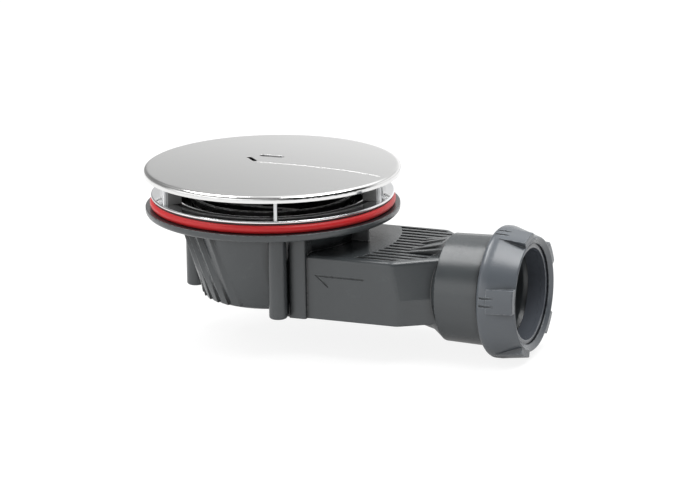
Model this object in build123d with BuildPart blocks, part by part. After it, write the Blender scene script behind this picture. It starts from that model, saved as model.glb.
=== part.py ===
from build123d import *
from math import cos, radians, sin
import os

os.makedirs("parts", exist_ok=True)

# Shower trap for a 90 mm tray hole and a 40 mm waste pipe, in millimetres.
# Origin: centre of the body flange's top face. +Z up, the outlet runs along +X.

# Stack above the flange: seal, gasket, clamp ring, cover
seal_height = 4.0
gasket_height = 0.6
lip_height = 1.3
window_height = 8.8
cover_rim_height = 3.0
cover_overhang = 3.0
cover_sheet = 1.0
cover_dome = 1.3
cover_rim_round = 1.8
cover_under_round = 1.2

# Body: flange, seat, bowl and walls
flange_width = 13.3
flange_height = 3.3
flange_round = 1.9
flange_top_round = 0.7
wall = 2.3
seat_radius = 43.7
seat_depth = 3.0
seat_ledge = 3.1
collar_drop = 1.9
collar_run = 2.4
bowl_depth = 41.2
bowl_draft = 9.7
bowl_corner = 4.0

# Slanting steps moulded on the bowl
tooth_count = 13
tooth_pitch = 11.6
tooth_start = -111.5
tooth_twist = 16.5
tooth_rise = 2.8
tooth_low_rise = 1.1
tooth_ramp = 1.5
tooth_hollow = 0.3
tooth_heel = 0.45
tooth_foot = 1.2
tooth_back_steps = 8

# Screw columns, and the pilasters that flank the duct
column_radius = 4.1
column_offset = 2.1
column_first = -64.5
column_count = 3
column_drop = 0.8
column_foot_round = 1.2
web_thick = 2.4
pilaster_x0 = 20.8
pilaster_x1 = 29.0
pilaster_proud = 2.2
pilaster_round = 1.2
return_width = 2.4
return_proud = 0.6
rib_setback = 11.0
rib_thick = 2.0

# Duct from the bowl to the outlet
duct_half = 31.0
duct_top_z = -13.5
duct_floor_z = -42.3
duct_shoulder_x = 71.5
duct_far_lag = 4.1
duct_taper = 14.2
duct_lap = 1.5
duct_end_inset = 3.8
duct_lean = 3.0
duct_lean_inset = 4.0
duct_edge = 2.0
duct_corner = 5.0
groove_pitch = 4.4
groove_width = 2.3
groove_depth = 1.6
groove_count = 13
groove_margin = 2.2
groove_stop = 4.5
pad_margin = 0.5
roof = 2.0
weir_depth = 6.2
weir_half = 22.0

# Outlet socket
pipe_radius = 20.0
pipe_clearance = 0.25
pipe_stop = 7.3
pipe_stop_step = 1.8
outlet_z = -30.8
socket_wall = 4.05
socket_length = 32.3
socket_draft = 0.3
socket_edge = 0.4
neck_drop = 6.5
neck_flare = 2.0
neck_run = 12.7
neck_step = 5.0
socket_back_wall = 2.2
thread_length = 12.0
thread_step = 0.5
mouth_depth = 6.5
mouth_wall = 1.2
gusset_width = 2.4
gusset_rise = 6.0
gusset_run = 17.0
gusset_near = 5.5
gusset_far = 11.0

# Nut, slip ring and pipe seal
thread_clearance = 0.4
nut_back_gap = 1.0
nut_wall = 5.2
nut_front_wall = 1.0
nut_mouth_gap = 2.3
nut_lip = 1.8
nut_crown = 4.6
nut_crown_round = 8.0
nut_shoulder = 2.8
nut_edge = 0.5
nut_flare_depth = 1.3
lug_count = 5
lug_first = 102.5
lug_angle = 20.0
lug_back = 5.0
lug_short = 0.2
lug_taper = 1.4
lug_edge = 0.35
lug_draft = 4.5
notch_back = 1.9
notch_length = 6.7
notch_width = 0.9
notch_depth = 0.5
notch_spread = 6.8
ring_gap = 0.3
slip_height = 2.6
seal_stand = 1.5
seal_reach = 4.3
seal_slack = 0.3
seal_bore_slack = 0.12

# Clamp ring, screws, seal and gasket
ring_lip_width = 11.2
ring_edge = 0.5
ring_lip_flat = 4.0
ring_lip_slope = 0.08
ring_skirt_clearance = 0.4
ring_skirt_wall = 1.7
ring_throat = 2.4
ring_neck = 1.3
ring_floor = 1.8
ring_floor_width = 6.6
screw_inset = 3.2
screw_radius = 1.5
screw_head_radius = 2.6
screw_length = 16.0
screw_clearance = 0.2
screw_hole_clearance = 0.1
drive_radius = 1.1
drive_slot = 0.66
drive_depth = 0.8
seal_margin = 2.0
seal_neck_gap = 1.0
gasket_margin = 0.5

# Cover frame
fin_angles = (-131.0, -65.5, -3.7)
fin_thick = 1.3
fin_width = 8.6
fin_margin = 0.9
fin_bead = 0.8
frame_clearance = 0.9
frame_disc = 1.3
frame_hole = 14.0
frame_ring_width = 6.8

# Lift-out insert and its seal
insert_clearance = 0.3
insert_wall = 1.6
insert_collar = 2.6
insert_flange = 1.4
insert_flange_lap = 1.5
band_gap = 2.4
band_height = 2.9
band_wall = 1.4
post_count = 12
post_wall = 1.0
post_angle = 7.0
dip_inset = 12.7
dip_gap = 6.2
funnel_drop = 1.6
funnel_height = 8.4
grip_width = 2.6
grip_height = 5.0
oring_radius = 0.75
oring_slack = 0.1

# Cover marks: one shallow step towards the outlet and two lift slots round the middle
step_depth = 0.35
step_width = 0.8
step_start_x = -6.4
step_start_y = -2.4
step_bend_x = 12.8
step_bend_y = -1.8
step_crest_x = 33.4
step_crest_y = -2.1
step_end_y = -5.0
step_margin = 4.0
slot_width = 3.2
slot_outer_radius = 13.0
slot_outer_angle = 131.0
slot_inner_radius = 9.8
slot_inner_angle = 91.5
dash_width = 2.0
dash_outer_radius = 14.4
dash_outer_angle = 159.5
dash_inner_radius = 8.4
dash_inner_angle = 181.5

# Arrow on the duct's near wall: a line with one barb at its tip, which points to the bowl
arrow_x = 33.4
arrow_z = -22.5
arrow_length = 22.3
arrow_barb_run = 5.6
arrow_barb_drop = 4.7
arrow_line = 0.7
arrow_depth = 0.3

# Heights and radii that follow from those
lip_low = seal_height + gasket_height
lip_top = lip_low + lip_height
cover_low = lip_top + window_height
cover_edge_z = cover_low + cover_rim_height
seat_z = -seat_depth
flange_radius = seat_radius + flange_width
ring_skirt_radius = seat_radius - ring_skirt_clearance
ring_radius = ring_skirt_radius + ring_lip_width
ring_bore = ring_skirt_radius - ring_skirt_wall
ring_inner_radius = ring_bore - ring_floor_width
cover_radius = ring_radius + cover_overhang
bowl_top_radius = seat_radius - seat_ledge
bowl_low_radius = bowl_top_radius - bowl_draft
collar_radius = seat_radius + wall
collar_z = -flange_height - collar_drop
collar_foot_z = collar_z - collar_run
bowl_floor_z = -bowl_depth
tooth_low_z = bowl_floor_z + tooth_foot
column_foot_z = bowl_floor_z - column_drop
screw_circle = ring_inner_radius + screw_inset
column_circle = screw_circle + column_offset
duct_ceiling_z = duct_top_z - groove_depth - roof
pad_radius = flange_radius + pad_margin

# Places along the outlet
bore_radius = pipe_radius + pipe_clearance
waterway_radius = pipe_radius - pipe_stop_step
socket_radius = bore_radius + socket_wall
thread_radius = socket_radius - thread_step
mouth_radius = thread_radius - mouth_wall
socket_back_x = duct_shoulder_x + duct_taper
socket_face_x = socket_back_x + socket_length
neck_back_x = socket_back_x - neck_run
neck_front_x = socket_back_x - neck_step
neck_radius = socket_radius - neck_drop
thread_x = socket_face_x - thread_length
pipe_stop_x = socket_back_x + pipe_stop
duct_end_x = socket_back_x + duct_lap
duct_end_half = socket_radius - duct_end_inset
duct_top_shoulder_x = duct_shoulder_x - duct_lean
duct_top_end_half = duct_end_half - duct_lean_inset
groove_end_x = socket_back_x - groove_stop
slip_back_x = socket_face_x + seal_stand
slip_front_x = slip_back_x + slip_height
lip_back_x = slip_front_x + ring_gap
nut_front_x = lip_back_x + nut_lip
nut_back_x = thread_x + nut_back_gap
nut_crown_x = nut_back_x + nut_crown
nut_inner = thread_radius + thread_clearance
nut_radius = nut_inner + nut_wall
nut_front_radius = nut_inner + nut_front_wall
nut_mouth_radius = pipe_radius + nut_mouth_gap
lug_back_x = nut_back_x + lug_back
lug_front_x = nut_front_x - lug_short

outlet_plane = Plane(origin=(0, 0, outlet_z), x_dir=(0, 1, 0), z_dir=(1, 0, 0))
outlet_axis = Axis((0, 0, outlet_z), (1, 0, 0))


def polar(radius, degrees):
    return (radius * cos(radians(degrees)), radius * sin(radians(degrees)))


def along(x, radius):
    return (x, outlet_z + radius)


def bowl_radius(z):
    share = (-flange_height - z) / (bowl_depth - flange_height)
    return bowl_top_radius + (bowl_low_radius - bowl_top_radius) * share


def tooth_ring(base, turn, full_rise):
    points = []
    for k in range(tooth_count):
        front = tooth_start + turn - k * tooth_pitch
        rise = full_rise * min(k + 1, tooth_count - k, tooth_ramp) / tooth_ramp
        points.append(polar(base, front))
        points.append(polar(base + rise, front))
        points.append(polar(base + rise * tooth_heel, front - tooth_pitch * (1 - tooth_hollow)))
    points.append(polar(base, tooth_start + turn - tooth_count * tooth_pitch))
    rest = 360 - tooth_count * tooth_pitch
    for k in range(1, tooth_back_steps):
        points.append(polar(base - wall, tooth_start + turn + rest - k * rest / tooth_back_steps))
    return points


def duct_plan(shoulder_x, end_half):
    near = [(pilaster_x0, -duct_half), (shoulder_x, -duct_half), (duct_end_x, -end_half)]
    return near + [(duct_end_x, end_half), (shoulder_x + duct_far_lag, duct_half), (pilaster_x0, duct_half)]


def shoulders(plan, shoulder_x):
    return plan.vertices().filter_by_position(Axis.X, shoulder_x - wall, shoulder_x + duct_far_lag + wall)


# Solid outside of the bowl, used again to keep the duct's core out of the bowl
with BuildPart() as bowl_blank:
    with BuildSketch(Plane.XZ) as bowl_section:
        with BuildLine():
            Polyline(
                (0, bowl_floor_z), (0, -flange_height / 2),
                (collar_radius, -flange_height / 2), (collar_radius, collar_z),
                (bowl_radius(collar_foot_z), collar_foot_z), (bowl_low_radius, bowl_floor_z),
                close=True,
            )
        make_face()
        fillet(bowl_section.vertices().group_by(Axis.Y)[0].sort_by(Axis.X)[-1], bowl_corner)
    revolve(axis=Axis.Z)

# Inside of the bowl and the seat for the clamp ring
with BuildPart() as bowl_core:
    with BuildSketch(Plane.XZ) as core_section:
        with BuildLine():
            Polyline(
                (0, bowl_floor_z + wall), (0, wall), (seat_radius, wall), (seat_radius, seat_z),
                (bowl_radius(seat_z) - wall, seat_z), (bowl_low_radius - wall, bowl_floor_z + wall),
                close=True,
            )
        make_face()
        fillet(core_section.vertices().group_by(Axis.Y)[0].sort_by(Axis.X)[-1], bowl_corner)
    revolve(axis=Axis.Z)

# Duct outside: straight walls, then slanted walls to the socket's width, leaning in above the outlet's axis
with BuildPart() as duct:
    with BuildSketch(Plane.XY.offset(duct_floor_z)) as floor_plan:
        with BuildLine():
            Polyline(*duct_plan(duct_shoulder_x, duct_end_half), close=True)
        make_face()
        fillet(shoulders(floor_plan, duct_shoulder_x), duct_corner)
    extrude(amount=outlet_z - duct_floor_z)
    with BuildSketch(Plane.XY.offset(outlet_z)) as middle_plan:
        with BuildLine():
            Polyline(*duct_plan(duct_shoulder_x, duct_end_half), close=True)
        make_face()
        fillet(shoulders(middle_plan, duct_shoulder_x), duct_corner)
    with BuildSketch(Plane.XY.offset(duct_top_z)) as roof_plan:
        with BuildLine():
            Polyline(*duct_plan(duct_top_shoulder_x, duct_top_end_half), close=True)
        make_face()
        fillet(shoulders(roof_plan, duct_top_shoulder_x), duct_corner)
    loft(ruled=True)
    rims = duct.faces().sort_by(Axis.Z)[-1].edges()
    fillet(rims.filter_by_position(Axis.X, pilaster_x0 + wall, duct_end_x - wall / 2), radius=duct_edge)
    # Grooves in the roof leave thin ribs along the flow, clear of the round pad by the flange
    with BuildSketch(Plane.XY.offset(duct_top_z)):
        with GridLocations(0, groove_pitch, 1, groove_count):
            Rectangle(groove_end_x * 2, groove_width)
        with BuildLine():
            groove_half = duct_half - groove_margin
            groove_end_half = duct_top_end_half + groove_margin
            groove_shoulder_x = duct_top_shoulder_x - duct_edge
            Polyline(
                (0, -groove_half), (groove_shoulder_x, -groove_half), (groove_end_x, -groove_end_half),
                (groove_end_x, groove_end_half), (groove_shoulder_x + duct_far_lag, groove_half),
                (0, groove_half),
                close=True,
            )
        make_face(mode=Mode.INTERSECT)
        Circle(pad_radius, mode=Mode.SUBTRACT)
    extrude(amount=-groove_depth, mode=Mode.SUBTRACT)

# Core of the duct: what the water runs through between the weir and the socket
with BuildPart() as duct_core:
    with BuildSketch(Plane.XY.offset(duct_floor_z + wall)):
        with BuildLine():
            core_half = duct_half - wall
            core_end_half = duct_top_end_half - wall
            core_shoulder_x = duct_top_shoulder_x - wall / 2
            Polyline(
                (pilaster_x1 - wall, -core_half), (core_shoulder_x, -core_half),
                (duct_end_x, -core_end_half), (pipe_stop_x - wall, -core_end_half),
                (pipe_stop_x - wall, core_end_half), (duct_end_x, core_end_half),
                (core_shoulder_x + duct_far_lag, core_half), (pilaster_x1 - wall, core_half),
                close=True,
            )
        make_face()
    extrude(amount=duct_ceiling_z - duct_floor_z - wall)
    add(bowl_blank.part, mode=Mode.SUBTRACT)

with BuildPart() as trap_body:
    add(bowl_blank.part)
    # Slanting steps on the bowl, away from the outlet
    with BuildSketch(Plane.XY.offset(-flange_height)):
        with BuildLine():
            Polyline(*tooth_ring(bowl_top_radius, 0, tooth_rise), close=True)
        make_face()
    with BuildSketch(Plane.XY.offset(tooth_low_z)):
        with BuildLine():
            Polyline(*tooth_ring(bowl_radius(tooth_low_z), tooth_twist, tooth_low_rise), close=True)
        make_face()
    loft(ruled=True)
    # Flange with a rounded rim
    with BuildSketch(Plane.XZ) as flange_section:
        with Locations((flange_radius / 2, -flange_height / 2)):
            Rectangle(flange_radius, flange_height)
        rim = flange_section.vertices().group_by(Axis.X)[-1].sort_by(Axis.Y)
        fillet(rim[0], flange_round)
        fillet(rim[1], flange_top_round)
    revolve(axis=Axis.Z)
    add(duct.part)
    # Pilasters carry the flange where the duct's walls meet the bowl
    with BuildSketch(Plane.XY.offset(duct_floor_z)) as pilaster_plan:
        with Locations(((pilaster_x0 + pilaster_x1) / 2, 0)):
            Rectangle(pilaster_x1 - pilaster_x0, (duct_half + pilaster_proud) * 2)
        fillet(pilaster_plan.vertices(), pilaster_round)
    extrude(amount=-flange_height / 2 - duct_floor_z)
    # Lower returns close the gap between the pilasters and the columns
    with BuildSketch(Plane.XY.offset(duct_floor_z)):
        with Locations((pilaster_x0 - return_width, 0)):
            Rectangle(return_width + pilaster_round, (duct_half + return_proud) * 2,
                      align=(Align.MIN, Align.CENTER))
    extrude(amount=-flange_height / 2 - duct_floor_z)
    # Webs tie each screw column to the bowl
    web_foot_z = column_foot_z + column_radius
    with PolarLocations(0, column_count, start_angle=column_first):
        with Locations((column_circle - column_radius, 0, web_foot_z)):
            Box(column_radius * 2, web_thick, -flange_height - web_foot_z,
                align=(Align.CENTER, Align.CENTER, Align.MIN))
    # Outlet socket with a flared neck behind it and a thread in front
    with BuildSketch(Plane.XZ):
        with BuildLine():
            Polyline(
                along(socket_back_x, socket_radius - socket_draft - socket_edge),
                along(socket_back_x + socket_edge, socket_radius - socket_draft),
                along(thread_x, socket_radius + socket_draft),
                along(thread_x, thread_radius),
                along(socket_face_x, thread_radius),
                along(socket_face_x, 0),
                along(neck_back_x, 0),
                along(neck_back_x, neck_radius),
                along(neck_front_x, neck_radius + neck_flare),
                close=True,
            )
        make_face()
    revolve(axis=outlet_axis)
    # Rib under the flange, over the duct's middle
    with Locations((bowl_radius(duct_top_z) - wall, 0, duct_top_z - wall / 2)):
        Box(flange_radius - rib_setback - bowl_radius(duct_top_z) + wall, rib_thick,
            wall - flange_height - duct_top_z, align=(Align.MIN, Align.CENTER, Align.MIN))
    # Gussets from the roof up to the socket
    for gusset_y in (-gusset_far, -gusset_near, gusset_near, gusset_far):
        gusset_top_z = duct_top_z + gusset_rise * (1 - abs(gusset_y) / socket_radius)
        with BuildSketch(Plane.XZ.offset(-gusset_y - gusset_width / 2)):
            with BuildLine():
                Polyline(
                    (socket_back_x - gusset_run, duct_top_z - groove_depth),
                    (socket_back_x + wall, duct_top_z - groove_depth),
                    (socket_back_x + wall, gusset_top_z),
                    (socket_back_x - gusset_run, duct_top_z),
                    close=True,
                )
            make_face()
        extrude(amount=gusset_width)
    add(bowl_core.part, mode=Mode.SUBTRACT)
    # Screw columns stand partly inside the bowl
    with BuildSketch(Plane.XY.offset(seat_z)):
        with PolarLocations(column_circle, column_count, start_angle=column_first):
            Circle(column_radius)
    extrude(amount=column_foot_z - seat_z)
    feet = trap_body.faces().filter_by(Plane.XY).filter_by_position(Axis.Z, column_foot_z, column_foot_z)
    fillet(feet.edges().filter_by(GeomType.CIRCLE), column_foot_round)
    with BuildSketch(Plane.XY.offset(seat_z)):
        with PolarLocations(screw_circle, column_count, start_angle=column_first):
            Circle(screw_radius + screw_hole_clearance)
    extrude(amount=-screw_length, mode=Mode.SUBTRACT)
    add(duct_core.part, mode=Mode.SUBTRACT)
    # Weir window through the bowl's wall into the duct
    with Locations((0, 0, duct_ceiling_z)):
        Box(bowl_top_radius, weir_half * 2, weir_depth,
            align=(Align.MIN, Align.CENTER, Align.MAX), mode=Mode.SUBTRACT)
    # Waterway, pipe stop, pipe bore and the seal's mouth
    with BuildSketch(Plane.XZ):
        with BuildLine():
            Polyline(
                along(socket_back_x + socket_back_wall, 0),
                along(socket_back_x + socket_back_wall, waterway_radius),
                along(pipe_stop_x, waterway_radius),
                along(pipe_stop_x, bore_radius),
                along(socket_face_x - mouth_depth, bore_radius),
                along(socket_face_x, mouth_radius),
                along(socket_face_x + wall, mouth_radius),
                along(socket_face_x + wall, 0),
                close=True,
            )
        make_face()
    revolve(axis=outlet_axis, mode=Mode.SUBTRACT)
    # Arrow sunk in the near wall
    with BuildSketch(Plane.XZ.offset(duct_half)):
        with BuildLine():
            Polyline((arrow_x + arrow_barb_run, arrow_z - arrow_barb_drop), (arrow_x, arrow_z),
                     (arrow_x + arrow_length, arrow_z))
        trace(line_width=arrow_line)
    extrude(amount=-arrow_depth, mode=Mode.SUBTRACT)
trap_body.part.label = "trap_body"
export_step(trap_body.part, "parts/trap_body.step")

# Red seal under the tray, round at its outer edge
seal_inner = ring_skirt_radius + ring_neck + seal_neck_gap
seal_round_x = flange_radius - seal_margin - seal_height / 2
with BuildPart() as tray_seal:
    with BuildSketch(Plane.XZ):
        with BuildLine():
            Polyline((seal_round_x, 0), (seal_inner, 0), (seal_inner, seal_height),
                     (seal_round_x, seal_height))
            ThreePointArc((seal_round_x, seal_height), (seal_round_x + seal_height / 2, seal_height / 2),
                          (seal_round_x, 0))
        make_face()
    revolve(axis=Axis.Z)
tray_seal.part.label = "tray_seal"
export_step(tray_seal.part, "parts/tray_seal.step")

# Thin gasket between the clamp ring's lip and the tray
with BuildPart() as lip_gasket:
    with BuildSketch(Plane.XY.offset(seal_height)):
        Circle(ring_radius - gasket_margin)
        Circle(seal_inner, mode=Mode.SUBTRACT)
    extrude(amount=gasket_height)
lip_gasket.part.label = "lip_gasket"
export_step(lip_gasket.part, "parts/lip_gasket.step")

# Clamp ring: lip, throat, neck through the tray hole, and a floor with three countersunk holes
lip_flat_x = ring_radius - ring_lip_flat
throat_x = ring_bore + ring_throat
throat_edge = (throat_x, lip_top - ring_lip_slope * (lip_flat_x - throat_x))
ring_floor_top = seat_z + ring_floor
with BuildPart() as clamp_ring:
    with BuildSketch(Plane.XZ):
        with BuildLine():
            Polyline(
                (ring_bore, lip_low - ring_neck), (ring_bore, ring_floor_top),
                (ring_inner_radius, ring_floor_top), (ring_inner_radius, seat_z),
                (ring_skirt_radius, seat_z), (ring_skirt_radius, lip_low - ring_neck),
                (ring_skirt_radius + ring_neck, lip_low), (ring_radius - ring_edge, lip_low),
            )
            ThreePointArc((ring_radius - ring_edge, lip_low), (ring_radius, (lip_low + lip_top) / 2),
                          (ring_radius - ring_edge, lip_top))
            Polyline((ring_radius - ring_edge, lip_top), (lip_flat_x, lip_top), throat_edge)
            TangentArc(throat_edge, (ring_bore, lip_low - ring_neck), tangent=(-1, -ring_lip_slope))
        make_face()
    revolve(axis=Axis.Z)
    with PolarLocations(screw_circle, column_count, start_angle=column_first):
        with Locations((0, 0, ring_floor_top)):
            CounterSinkHole(screw_radius + screw_clearance, screw_head_radius + screw_clearance,
                            depth=ring_floor * 2, counter_sink_angle=90)
clamp_ring.part.label = "clamp_ring"
export_step(clamp_ring.part, "parts/clamp_ring.step")

# Three countersunk screws, flush with the clamp ring's floor
screw_head_height = screw_head_radius - screw_radius
with BuildPart() as clamp_screws:
    with PolarLocations(screw_circle, column_count, start_angle=column_first):
        with Locations((0, 0, ring_floor_top - screw_head_height / 2)):
            Cone(screw_radius, screw_head_radius, screw_head_height)
        with Locations((0, 0, ring_floor_top - screw_head_height)):
            Cylinder(screw_radius, screw_length - screw_head_height,
                     align=(Align.CENTER, Align.CENTER, Align.MAX))
    with BuildSketch(Plane.XY.offset(ring_floor_top)):
        with PolarLocations(screw_circle, column_count, start_angle=column_first):
            SlotCenterToCenter(drive_radius * 2, drive_slot)
            SlotCenterToCenter(drive_radius * 2, drive_slot, rotation=90)
    extrude(amount=-drive_depth, mode=Mode.SUBTRACT)
clamp_screws.part.label = "clamp_screws"
export_step(clamp_screws.part, "parts/clamp_screws.step")

# Lift-out insert: collar, flange, strainer band on posts, funnel and dip tube
insert_radius = ring_inner_radius - insert_clearance
insert_inner = insert_radius - insert_collar
insert_flange_radius = ring_inner_radius + insert_flange_lap
dip_radius = insert_radius - dip_inset
insert_flange_top = ring_floor_top + insert_flange
band_low = insert_flange_top + band_gap
band_middle = insert_flange_radius - band_wall / 2
funnel_top_z = seat_z - funnel_drop
funnel_low_z = funnel_top_z - funnel_height
dip_z = bowl_floor_z + dip_gap
oring_z = (seat_z + ring_floor_top) / 2
oring_circle = ring_inner_radius - oring_slack - oring_radius
with BuildPart() as trap_insert:
    with BuildSketch(Plane.XZ):
        with BuildLine():
            Polyline(
                (insert_inner, insert_flange_top), (insert_flange_radius, insert_flange_top),
                (insert_flange_radius, ring_floor_top), (insert_radius, ring_floor_top),
                (insert_radius, funnel_top_z), (dip_radius, funnel_low_z), (dip_radius, dip_z),
                (dip_radius - insert_wall, dip_z), (dip_radius - insert_wall, funnel_low_z + insert_wall),
                (insert_inner, funnel_top_z + insert_wall),
                close=True,
            )
        make_face()
        with Locations((oring_circle, oring_z)):
            Circle(oring_radius + oring_slack, mode=Mode.SUBTRACT)
    revolve(axis=Axis.Z)
    with BuildSketch(Plane.XY.offset(band_low)):
        Circle(insert_flange_radius)
        Circle(insert_flange_radius - band_wall, mode=Mode.SUBTRACT)
    extrude(amount=band_height)
    with PolarLocations(band_middle, post_count, start_angle=column_first):
        with Locations((0, 0, insert_flange_top)):
            Box(post_wall, band_middle * radians(post_angle), band_gap,
                align=(Align.CENTER, Align.CENTER, Align.MIN))
    with Locations((0, 0, funnel_top_z)):
        Box(insert_inner * 2 + insert_wall / 2, grip_width, grip_height)
trap_insert.part.label = "trap_insert"
export_step(trap_insert.part, "parts/trap_insert.step")

# Round seal in the insert's groove
with BuildPart() as insert_seal:
    with Locations((0, 0, oring_z)):
        Torus(oring_circle, oring_radius)
insert_seal.part.label = "insert_seal"
export_step(insert_seal.part, "parts/insert_seal.step")

# Cover plate: domed sheet with a turned-down rim
rim_inner = cover_radius - cover_sheet
dome_edge_x = cover_radius - cover_rim_round
under_edge_x = rim_inner - cover_under_round
under_edge_z = cover_edge_z - cover_sheet
with BuildPart() as cover_plate:
    with BuildSketch(Plane.XZ):
        with BuildLine():
            dome = Bezier((0, cover_edge_z + cover_dome), (dome_edge_x / 2, cover_edge_z + cover_dome),
                          (dome_edge_x, cover_edge_z))
            Spline(dome @ 1, (cover_radius, cover_edge_z - cover_rim_round), tangents=(dome % 1, (0, -1)))
            Polyline((cover_radius, cover_edge_z - cover_rim_round), (cover_radius, cover_low),
                     (rim_inner, cover_low), (rim_inner, under_edge_z - cover_under_round),
                     (under_edge_x, under_edge_z))
            under = Bezier((under_edge_x, under_edge_z), (under_edge_x / 2, under_edge_z + cover_dome),
                           (0, under_edge_z + cover_dome))
            Line(under @ 1, dome @ 0)
        make_face()
    revolve(axis=Axis.Z)
    # Lift slots round the middle
    with BuildSketch(Plane.XY.offset(cover_low)):
        slot = Line(polar(slot_outer_radius, slot_outer_angle), polar(slot_inner_radius, slot_inner_angle),
                    mode=Mode.PRIVATE)
        SlotArc(slot, slot_width)
        dash = Line(polar(dash_outer_radius, dash_outer_angle), polar(dash_inner_radius, dash_inner_angle),
                    mode=Mode.PRIVATE)
        SlotArc(dash, dash_width)
    extrude(amount=cover_rim_height + cover_dome * 2, mode=Mode.SUBTRACT)

# Metal above a copy of the dome sunk by the step's depth, cut away along the step's line
sunk_z = cover_edge_z - step_depth
with BuildPart() as step_cut:
    with BuildSketch(Plane.XY.offset(cover_edge_z - cover_sheet)):
        with BuildLine() as step_line:
            Spline((step_start_x, step_start_y), (step_bend_x, step_bend_y), (step_crest_x, step_crest_y),
                   (cover_radius - step_margin, step_end_y))
        trace(line_width=step_width)
    extrude(amount=cover_sheet + cover_dome * 2)
    with BuildSketch(Plane.XZ):
        with BuildLine():
            Polyline((0, sunk_z + cover_dome), (0, sunk_z - cover_sheet), (dome_edge_x, sunk_z - cover_sheet),
                     (dome_edge_x, sunk_z))
            Bezier((dome_edge_x, sunk_z), (dome_edge_x / 2, sunk_z + cover_dome), (0, sunk_z + cover_dome))
        make_face()
    revolve(axis=Axis.Z, mode=Mode.SUBTRACT)
with cover_plate:
    add(step_cut.part, mode=Mode.SUBTRACT)
cover_plate.part.label = "cover_plate"
export_step(cover_plate.part, "parts/cover_plate.step")

# Cover frame: disc under the plate, ring and six fins that stand on the clamp ring's lip
fin_outer = ring_radius - fin_margin
fin_inner = fin_outer - fin_width
with BuildPart() as cover_frame:
    with BuildSketch(Plane.XY.offset(under_edge_z)):
        Circle(under_edge_x - frame_clearance)
        Circle(frame_hole, mode=Mode.SUBTRACT)
    extrude(amount=-frame_disc)
    with BuildSketch(Plane.XY.offset(under_edge_z)):
        Circle(fin_outer)
        Circle(fin_outer - frame_ring_width, mode=Mode.SUBTRACT)
    extrude(amount=cover_low - under_edge_z)
    with BuildSketch(Plane.XY.offset(lip_top)):
        for fin_angle in fin_angles:
            with PolarLocations(0, 2, start_angle=fin_angle):
                with Locations(((fin_inner + fin_outer) / 2, 0)):
                    Rectangle(fin_outer - fin_inner, fin_thick)
                with Locations((fin_outer - fin_bead, 0)):
                    Circle(fin_bead)
    extrude(amount=window_height)
cover_frame.part.label = "cover_frame"
export_step(cover_frame.part, "parts/cover_frame.step")

# Lugs of the nut, drafted on one side and trimmed by a cone
with BuildPart() as nut_lugs:
    with BuildSketch(outlet_plane.offset(lug_back_x)):
        for lug in range(lug_count):
            lug_start = lug_first - lug_angle / 2 + lug * 360 / lug_count
            with BuildLine():
                outer_arc = CenterArc((0, 0), nut_radius + wall, lug_start, lug_angle)
                inner_arc = CenterArc((0, 0), nut_front_radius - nut_edge, lug_start - lug_draft,
                                      lug_angle + lug_draft)
                Line(outer_arc @ 0, inner_arc @ 0)
                Line(outer_arc @ 1, inner_arc @ 1)
            make_face()
    extrude(amount=lug_front_x - lug_back_x)
    with BuildSketch(Plane.XZ):
        with BuildLine():
            Polyline(
                along(lug_back_x, 0), along(lug_back_x, nut_radius),
                along(lug_front_x - lug_edge, nut_radius - lug_taper),
                along(lug_front_x, nut_radius - lug_taper - lug_edge), along(lug_front_x, 0),
                close=True,
            )
        make_face()
    revolve(axis=outlet_axis, mode=Mode.INTERSECT)

# Compression nut with five lugs, on clearance in place of the thread
with BuildPart() as compression_nut:
    with BuildSketch(Plane.XZ) as nut_section:
        with BuildLine():
            Polyline(
                along(nut_back_x, nut_inner), along(nut_back_x, nut_radius), along(nut_crown_x, nut_radius),
                along(nut_front_x - nut_edge, nut_front_radius + nut_edge / 2),
                along(nut_front_x, nut_front_radius - nut_edge / 2),
                along(nut_front_x, nut_front_radius - nut_edge),
                along(nut_front_x - nut_flare_depth, nut_mouth_radius),
                along(lip_back_x, nut_mouth_radius), along(lip_back_x, nut_inner),
                close=True,
            )
        make_face()
        back_corners = nut_section.vertices().group_by(Axis.Y)[-1].sort_by(Axis.X)
        fillet(back_corners[0], nut_shoulder)
        crown = nut_section.vertices().group_by(Axis.Y)[-1].sort_by(Axis.X)[-1]
        fillet(crown, nut_crown_round)
    revolve(axis=outlet_axis)
    add(nut_lugs.part)
    # A pair of notches at the back of each lug
    with BuildSketch(outlet_plane.offset(nut_back_x + notch_back)):
        for notch_turn in (-notch_spread / 2, notch_spread / 2):
            with PolarLocations(nut_radius, lug_count, start_angle=lug_first + notch_turn):
                Rectangle(notch_depth * 2, notch_width)
    extrude(amount=notch_length, mode=Mode.SUBTRACT)
compression_nut.part.label = "compression_nut"
export_step(compression_nut.part, "parts/compression_nut.step")

# Slip ring behind the nut's lip
seal_bore = bore_radius + seal_bore_slack
with BuildPart() as slip_ring:
    with BuildSketch(outlet_plane.offset(slip_back_x)):
        Circle(thread_radius - ring_gap)
        Circle(seal_bore, mode=Mode.SUBTRACT)
    extrude(amount=slip_height)
slip_ring.part.label = "slip_ring"
export_step(slip_ring.part, "parts/slip_ring.step")

# Conical seal in the socket's mouth
mouth_rate = (mouth_radius - bore_radius) / mouth_depth
seal_front_radius = mouth_radius - seal_slack
with BuildPart() as pipe_seal:
    with BuildSketch(Plane.XZ):
        with BuildLine():
            Polyline(
                along(socket_face_x - seal_reach, seal_bore), along(slip_back_x, seal_bore),
                along(slip_back_x, seal_front_radius), along(socket_face_x, seal_front_radius),
                along(socket_face_x - seal_reach, seal_front_radius - mouth_rate * seal_reach),
                close=True,
            )
        make_face()
    revolve(axis=outlet_axis)
pipe_seal.part.label = "pipe_seal"
export_step(pipe_seal.part, "parts/pipe_seal.step")
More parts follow.
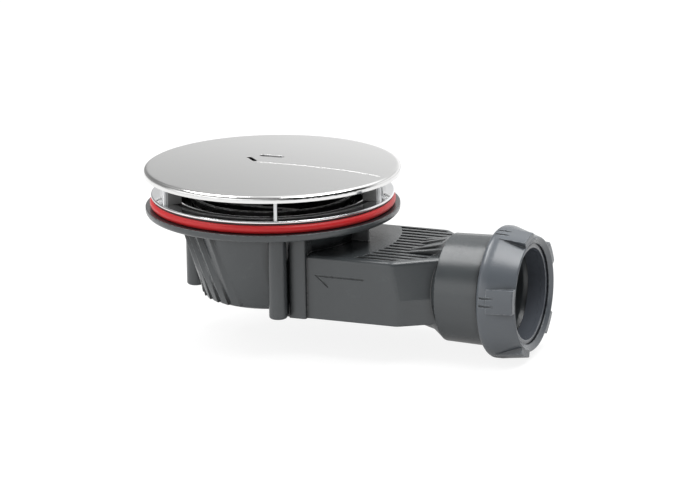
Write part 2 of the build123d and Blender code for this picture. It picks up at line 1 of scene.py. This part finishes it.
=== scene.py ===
import bpy
import numpy as np
from mathutils import Matrix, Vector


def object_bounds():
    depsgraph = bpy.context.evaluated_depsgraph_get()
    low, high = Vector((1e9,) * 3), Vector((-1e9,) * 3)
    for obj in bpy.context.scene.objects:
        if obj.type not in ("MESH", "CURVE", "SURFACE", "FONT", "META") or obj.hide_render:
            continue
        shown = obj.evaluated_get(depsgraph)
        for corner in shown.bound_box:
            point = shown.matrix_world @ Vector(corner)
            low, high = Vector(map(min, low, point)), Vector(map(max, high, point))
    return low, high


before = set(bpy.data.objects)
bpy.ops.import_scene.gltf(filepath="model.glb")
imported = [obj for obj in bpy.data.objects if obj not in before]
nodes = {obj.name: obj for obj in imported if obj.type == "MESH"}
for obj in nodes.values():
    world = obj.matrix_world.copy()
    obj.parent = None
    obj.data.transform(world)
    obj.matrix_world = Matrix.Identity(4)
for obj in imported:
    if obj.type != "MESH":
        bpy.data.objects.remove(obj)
cad_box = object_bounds()


# Trap body: one dark grey moulding with the flange, the bowl, the duct and the outlet socket.
# Injection-moulded plastic with a fine spark-eroded grain, a little uneven in shade.
class Value:
    """A shader socket: + - * with values or numbers add Math nodes, and node() adds any other."""

    def __init__(self, socket):
        self.socket = socket

    def node(self, kind, settings, inputs, output=0):
        """Adds a node of that kind: its settings first, then its sockets' numbers or links."""
        tree = self.socket.id_data
        made = tree.nodes.new("ShaderNode" + kind)
        for name, setting in settings.items():
            setattr(made, name, setting)
        for name, given in inputs.items():
            if isinstance(given, Value):
                tree.links.new(given.socket, made.inputs[name])
            else:
                made.inputs[name].default_value = given
        return Value(made.outputs[output])

    def math(self, operation, first, second):
        return self.node("Math", {"operation": operation}, {0: first, 1: second})

    def __add__(self, other):
        return self.math("ADD", self, other)

    def __sub__(self, other):
        return self.math("SUBTRACT", self, other)

    def __mul__(self, other):
        return self.math("MULTIPLY", self, other)

    def __radd__(self, other):
        return self.math("ADD", other, self)

    def __rsub__(self, other):
        return self.math("SUBTRACT", other, self)

    def __rmul__(self, other):
        return self.math("MULTIPLY", other, self)

    def noise(self, scale, detail):
        """Soft noise from 0 to 1, with that many cells to a metre."""
        return self.node("TexNoise", {}, {"Vector": self, "Scale": scale, "Detail": detail})

    def stretched(self, x, y, z):
        """These coordinates, each multiplied by its own factor."""
        return self.node("Mapping", {}, {"Vector": self, "Scale": (x, y, z)})

    def along(self, direction):
        """The dot product of this vector and a direction."""
        inputs = {0: self, 1: direction}
        return self.node("VectorMath", {"operation": "DOT_PRODUCT"}, inputs, output="Value")

    def from_axis(self):
        """How far these coordinates lie from the upright axis."""
        flat = self.stretched(1.0, 1.0, 0.0)
        return self.node("VectorMath", {"operation": "LENGTH"}, {0: flat}, output="Value")

    def between(self, low, high):
        """A colour from low to high as this value goes from 0 to 1."""
        ends = [end if isinstance(end, Value) else (*end, 1.0) for end in (low, high)]
        inputs = {0: self, 6: ends[0], 7: ends[1]}
        return self.node("Mix", {"data_type": "RGBA"}, inputs, output=2)

    def ramp(self, start, end):
        """0 at start and before it, 1 at end and past it, in a straight line between."""
        inputs = {0: self, 1: start, 2: end, 3: 0.0, 4: 1.0}
        return self.node("MapRange", {}, inputs)

    def rounded(self, radius):
        """The surface's normal, turned at each edge as if the edge had that radius."""
        return self.node("Bevel", {"samples": 6}, {"Radius": radius})

    def bump(self, height, edge=None):
        """A normal for a relief of that height in metres, over edges rounded to that radius."""
        inputs = {"Height": self, "Distance": height}
        if edge:
            inputs["Normal"] = self.rounded(edge)
        return self.node("Bump", {}, inputs)

    def off_edge(self, radius):
        """0 on a plain face, growing towards 1 where an edge of that radius turns away from it."""
        face = self.node("NewGeometry", {}, {}, output="Normal")
        return 1 - self.rounded(radius).along(face)

    def feed(self, shader, name):
        self.socket.id_data.links.new(self.socket, shader.inputs[name])


def new_finish(name, **constants):
    """A material, its Principled shader with those constants set, and its Object coordinates."""
    material = bpy.data.materials.new(name)
    material.use_nodes = True
    tree = material.node_tree
    shader = tree.nodes["Principled BSDF"]
    for socket, constant in constants.items():
        shader.inputs[socket].default_value = constant
    place = Value(tree.nodes.new("ShaderNodeTexCoord").outputs["Object"])
    return material, shader, place


def dress(node, material):
    """Puts the material in every slot of a CAD node."""
    for slot in nodes[node].material_slots:
        slot.material = material


def moulded_plastic(name, dark, light, wear_and_highlight, roughness, edge):
    """Cloudy shade from slow noise and a fine grain, paler edges that are part rubbed wear and part
    painted highlight, and painted shade in corners.
    """
    corner_reach = 0.004
    # Painted shade: the colour that corners and recesses darken towards.
    painted_corner_shade = [0.4 * part for part in dark]
    grain_height = 0.00002
    material, shader, place = new_finish(name, IOR=1.6)
    cloud = place.noise(scale=70.0, detail=4.0)
    grain = place.noise(scale=5200.0, detail=2.0)
    patches = place.noise(scale=400.0, detail=3.0).ramp(0.35, 0.65)
    # Paler edges: part rubbed wear, part painted highlight.
    rubbed_and_highlit = place.off_edge(edge).ramp(0.02, 0.16) * patches
    # Painted shade: ambient occlusion darkens the colour where little light reaches.
    open_to_light = place.node(
        "AmbientOcclusion", {"samples": 10}, {"Distance": corner_reach}, output="AO")
    painted_corner_mask = open_to_light.ramp(0.97, 0.62)
    face_shade = rubbed_and_highlit.between(cloud.between(dark, light), wear_and_highlight)
    painted_corner_mask.between(face_shade, painted_corner_shade).feed(shader, "Base Color")
    (roughness + 0.10 * cloud + 0.06 * grain + 0.10 * rubbed_and_highlit).feed(shader, "Roughness")
    grain.bump(grain_height, edge).feed(shader, "Normal")
    return material


# Its paler edges are part wear and part painted highlight, and its corners get painted shade.
dress("trap_body", moulded_plastic(
    "dark_plastic", dark=(0.046, 0.051, 0.054), light=(0.056, 0.063, 0.067),
    wear_and_highlight=(0.15, 0.165, 0.17), roughness=0.17, edge=0.0009))


# Lift-out insert: black moulded funnel and dip tube with a strainer band on twelve posts.
# It drops into the clamp ring and is lifted out by the bar across it.
# Its pale edge lines are painted highlights, and its corners get painted shade.
dress("trap_insert", moulded_plastic(
    "black_plastic", dark=(0.012, 0.012, 0.012), light=(0.020, 0.020, 0.020),
    wear_and_highlight=(0.70, 0.70, 0.70), roughness=0.20, edge=0.0008))


# Compression nut: lighter grey moulding with five lugs for the hand, screwed on the socket.
# Behind its lip lie a slip ring of a smoother grey plastic and a conical rubber seal.
# Its paler lug and rim edges are part wear and part painted highlight.
dress("compression_nut", moulded_plastic(
    "grey_plastic", dark=(0.081, 0.091, 0.104), light=(0.096, 0.108, 0.122),
    wear_and_highlight=(0.34, 0.37, 0.40), roughness=0.17, edge=0.0007))
dress("slip_ring", moulded_plastic(
    "smooth_grey_plastic", dark=(0.085, 0.094, 0.110), light=(0.105, 0.115, 0.134),
    wear_and_highlight=(0.26, 0.28, 0.31), roughness=0.10, edge=0.0005))


# Seals: a red ring between the flange and the tray, a grey cone in the outlet, and two black
# rings at the clamp ring. Moulded rubber, soft, with a matt skin and a faint bloom.
def rubber(name, dark, light, roughness):
    """Bloom from slow noise on the colour, skin texture from a finer one."""
    skin_height = 0.00003
    material, shader, place = new_finish(name, IOR=1.45)
    bloom = place.noise(scale=90.0, detail=3.0)
    skin = place.noise(scale=3000.0, detail=3.0)
    bloom.between(dark, light).feed(shader, "Base Color")
    (roughness + 0.15 * skin).feed(shader, "Roughness")
    skin.bump(skin_height).feed(shader, "Normal")
    return material


dress("tray_seal", rubber(
    "red_rubber", dark=(0.53, 0.012, 0.015), light=(0.61, 0.022, 0.025), roughness=0.30))
dress("pipe_seal", rubber(
    "grey_rubber", dark=(0.085, 0.094, 0.110), light=(0.105, 0.115, 0.134), roughness=0.16))
black_rubber = rubber(
    "black_rubber", dark=(0.010, 0.010, 0.010), light=(0.020, 0.020, 0.020), roughness=0.45)
for seal in ("lip_gasket", "insert_seal"):
    dress(seal, black_rubber)


# Clamp ring: black moulding that three screws pull down on the tray from above.
# Chromed on its lip, which shows under the cover, and in a thin line round its throat.
bare_black = (0.010, 0.010, 0.010)


def bright_skin(name, dark, light, **constants):
    """A finish with slow waves in a bright skin, on its normal and in the shade it gives back."""
    wave_height = 0.00001
    material, shader, place = new_finish(name, **constants)
    wave = place.noise(scale=120.0, detail=2.0)
    wave.bump(wave_height, edge=0.0002).feed(shader, "Normal")
    return material, shader, place, wave.between(dark, light)


def part_plated(name, lip, throat, roughness):
    """Chrome outside the lip's radius and in a thin line at the throat's, black elsewhere."""
    fade, line_half, line_core = 0.0002, 0.0008, 0.0006
    material, shader, place, skin = bright_skin(
        name, dark=(0.80, 0.81, 0.82), light=(0.88, 0.89, 0.90), IOR=1.2)
    off_axis = place.from_axis()
    outside = off_axis.ramp(lip, lip + fade)
    inner_half = off_axis.ramp(throat - line_half, throat - line_core)
    outer_half = off_axis.ramp(throat + line_half, throat + line_core)
    plated = outside.math("MAXIMUM", outside, inner_half * outer_half)
    plated.between(bare_black, skin).feed(shader, "Base Color")
    plated.feed(shader, "Metallic")
    (roughness + 0.45 * (1 - plated)).feed(shader, "Roughness")
    return material


dress("clamp_ring", part_plated("chromed_plastic", lip=0.0478, throat=0.0440, roughness=0.06))


# Clamp screws: three steel screws through the clamp ring into the body's columns.
# Cold-formed and bright, with a recess in the head for the driver.
def bright_steel(name, dark, light, roughness):
    """Bright skin all over, with a fine haze in the roughness."""
    material, shader, place, skin = bright_skin(name, dark, light, Metallic=1.0)
    haze = place.noise(scale=2600.0, detail=2.0)
    skin.feed(shader, "Base Color")
    (roughness + 0.06 * haze).feed(shader, "Roughness")
    return material


dress("clamp_screws", bright_steel(
    "bright_steel", dark=(0.52, 0.52, 0.52), light=(0.60, 0.60, 0.60), roughness=0.18))


# Cover frame: black moulding whose six fins stand on the clamp ring and carry the cover plate.
# The fins' faces have a satin finish, and the bead along their outer edge is bright.
def finned_frame(name, fins, bead):
    """Black to where the fins start, satin grey on their faces, bright from the bead outwards."""
    fin_fade, bead_fade = 0.0002, 0.0003
    material, shader, place, skin = bright_skin(
        name, dark=(0.86, 0.87, 0.88), light=(0.90, 0.91, 0.92), IOR=1.3)
    off_axis = place.from_axis()
    on_fin = off_axis.ramp(fins - fin_fade, fins)
    on_bead = off_axis.ramp(bead, bead + bead_fade)
    satin_cloud = place.noise(scale=300.0, detail=2.0)
    satin = satin_cloud.between((0.24, 0.24, 0.24), (0.28, 0.28, 0.28))
    face = on_fin.between(bare_black, satin)
    on_bead.between(face, skin).feed(shader, "Base Color")
    (0.30 * on_bead).feed(shader, "Metallic")
    (0.50 - 0.20 * on_bead).feed(shader, "Roughness")
    return material


dress("cover_frame", finned_frame("chromed_plastic_frame", fins=0.0451, bead=0.0516))


# Cover plate: pressed stainless disc with a turned-down rim, laid on the frame.
# Brushed in one direction, and smoother where the rim turns down.
def brushed_steel(name, dark, light, roughness, rim_start, rim_end):
    """Noise drawn out along X for the brush lines, in the shade, the roughness and the normal."""
    line_height = 0.000002
    material, shader, place = new_finish(name, Metallic=1.0)
    lines = place.stretched(0.006, 1.0, 1.0).noise(scale=7000.0, detail=3.0)
    on_rim = place.from_axis().ramp(rim_start, rim_end)
    lines.between(dark, light).feed(shader, "Base Color")
    (roughness + 0.08 * lines - 0.10 * on_rim).feed(shader, "Roughness")
    lines.bump(line_height, edge=0.0003).feed(shader, "Normal")
    return material


dress("cover_plate", brushed_steel(
    "satin_steel", dark=(0.74, 0.74, 0.735), light=(0.79, 0.79, 0.785), roughness=0.14,
    rim_start=0.0556, rim_end=0.0563))


# Floor: a plain pale sheet under the object's lowest point, which keeps its shadow.
# It glows for the camera and in reflections, and throws a plain share of the light back up.
floor_half = 3.0
floor_z = cad_box[0][2]
floor_glow = 0.86
floor_mirrored = 0.35
floor_shade = 0.18
floor_bounce = 0.52
floor_mesh = bpy.data.meshes.new("floor")
square = np.array([(-1, -1, 0), (1, -1, 0), (1, 1, 0), (-1, 1, 0)])
corners = square * floor_half + (0, 0, floor_z)
floor_mesh.from_pydata(corners.tolist(), [], [(0, 1, 2, 3)])
floor = bpy.data.objects.new("floor", floor_mesh)
bpy.context.scene.collection.objects.link(floor)


def seen_directly(path):
    """1 for rays from the camera, from gloss and through glass, 0 for light that is scattered."""
    kinds = ("Is Camera Ray", "Is Glossy Ray", "Is Transmission Ray")
    by_eye, by_gloss, through_glass = (Value(path.outputs[kind]) for kind in kinds)
    seen = by_eye + by_gloss + through_glass
    return seen.math("MINIMUM", seen, 1.0)


floor_material = bpy.data.materials.new("pale_floor")
floor_material.use_nodes = True
floor_tree = floor_material.node_tree
floor_tree.nodes.clear()
floor_path = floor_tree.nodes.new("ShaderNodeLightPath")
floor_view = Value(floor_path.outputs["Is Camera Ray"])
floor_gloss = seen_directly(floor_path) - floor_view
floor_colour = floor_view.between([floor_bounce] * 3, [floor_shade] * 3)
lit = floor_view.node("BsdfDiffuse", {}, {"Color": floor_colour})
glow_strength = floor_glow * floor_view + floor_mirrored * floor_gloss
glow = floor_view.node("Emission", {}, {"Color": (1, 1, 1, 1), "Strength": glow_strength})
floor_out = floor_tree.nodes.new("ShaderNodeOutputMaterial")
lit.node("AddShader", {}, {0: lit, 1: glow}).feed(floor_out, "Surface")
floor_mesh.materials.append(floor_material)


# Studio walls: a dim room that the object mirrors, with a white screen beyond it, a bright wall
# to the camera's left and a pale ceiling. The camera sees plain white, and scattered light is soft.
dark_room = 0.05
left_wall = 1.30
ceiling = 0.72
soft_light = 0.14
screen_light = 0.40
world = bpy.data.worlds.new("studio")
bpy.context.scene.world = world
world.use_nodes = True
backdrop = world.node_tree.nodes["Background"]
backdrop.inputs["Color"].default_value = (1, 1, 1, 1)
world_path = world.node_tree.nodes.new("ShaderNodeLightPath")
from_camera = Value(world_path.outputs["Is Camera Ray"])
ray = Value(world.node_tree.nodes.new("ShaderNodeTexCoord").outputs["Generated"])
up = ray.node("SeparateXYZ", {}, {0: ray}, output="Z")
beyond = ray.along((-0.38, 0.92, 0.0))
rightward = ray.along((0.92, 0.38, 0.0))
leftward = ray.along((-0.66, -0.75, 0.0))
screen = beyond.ramp(0.0, 0.35)
screen_middle = 0.70
screen_foot = 0.30 * up.ramp(0.35, 0.14)
screen_top = 0.90 * up.ramp(0.45, 0.75) * up.ramp(0.94, 0.84)
screen_right = 0.38 + 0.78 * rightward.ramp(-0.20, 0.10)
white = (screen_middle + screen_foot + screen_top) * screen_right
wall = left_wall * leftward.ramp(0.18, 0.85)
room = dark_room + wall * up.ramp(0.50, 0.38) + ceiling * up.ramp(0.78, 0.92)
shown = from_camera + (1 - from_camera) * (room + screen * (white - room))
ambient = soft_light + wall + screen_light * screen
(ambient + (shown - ambient) * seen_directly(world_path)).feed(backdrop, "Strength")


# Lamps: two oblong soft boxes overhead, to the object's left and right, turned to its middle.
# They hang off the zenith, so that little of them shows in the cover seen from right above.
middle = (cad_box[0] + cad_box[1]) / 2


def hang(thing, place, side, back):
    """Puts a lamp or a camera at a place, with its X axis along side and its Z axis along back."""
    turn = np.eye(4)
    turn[:3] = np.column_stack([side, np.cross(back, side), back, place])
    thing.matrix_world = Matrix(turn.tolist())
    bpy.context.scene.collection.objects.link(thing)


def soft_lamp(name, place, width, depth, watts):
    """An oblong area lamp at that place, turned to face the object's middle."""
    lamp = bpy.data.lights.new(name, "AREA")
    lamp.shape = "RECTANGLE"
    lamp.size = width
    lamp.size_y = depth
    lamp.energy = watts
    back = np.array(place) - middle
    back /= np.linalg.norm(back)
    side = np.cross((0.0, 1.0, 0.0), back)
    side /= np.linalg.norm(side)
    hang(bpy.data.objects.new(name, lamp), place, side, back)


soft_lamp("overhead_left", (-0.47, 0.00, 0.90), width=0.44, depth=0.80, watts=7.0)
soft_lamp("overhead_right", (0.46, 0.00, 0.92), width=0.50, depth=0.80, watts=8.5)


# Camera: where the photograph's was, a little above the object and far off with a long lens.
# Its angles, its place and its lens were fitted to the photograph.
azimuth, elevation, roll = np.radians([22.490, 15.264, -0.888])
distance = 2.00772
aim = np.array([0.03540, 0.00366, -0.01955])
sensor_width = 36.0
focal_pixels = 4500
image_pixels = 700
back = np.array([
    np.sin(azimuth) * np.cos(elevation),
    -np.cos(azimuth) * np.cos(elevation),
    np.sin(elevation),
])
level = np.array([np.cos(azimuth), np.sin(azimuth), 0.0])
right = level * np.cos(roll) + np.cross(back, level) * np.sin(roll)
camera = bpy.data.objects.new("camera", bpy.data.cameras.new("camera"))
camera.data.sensor_width = sensor_width
camera.data.lens = sensor_width * focal_pixels / image_pixels
camera.data.clip_end = 20.0
hang(camera, aim + back * distance, right, back)
bpy.context.scene.camera = camera
bpy.context.scene.view_settings.view_transform = "Standard"
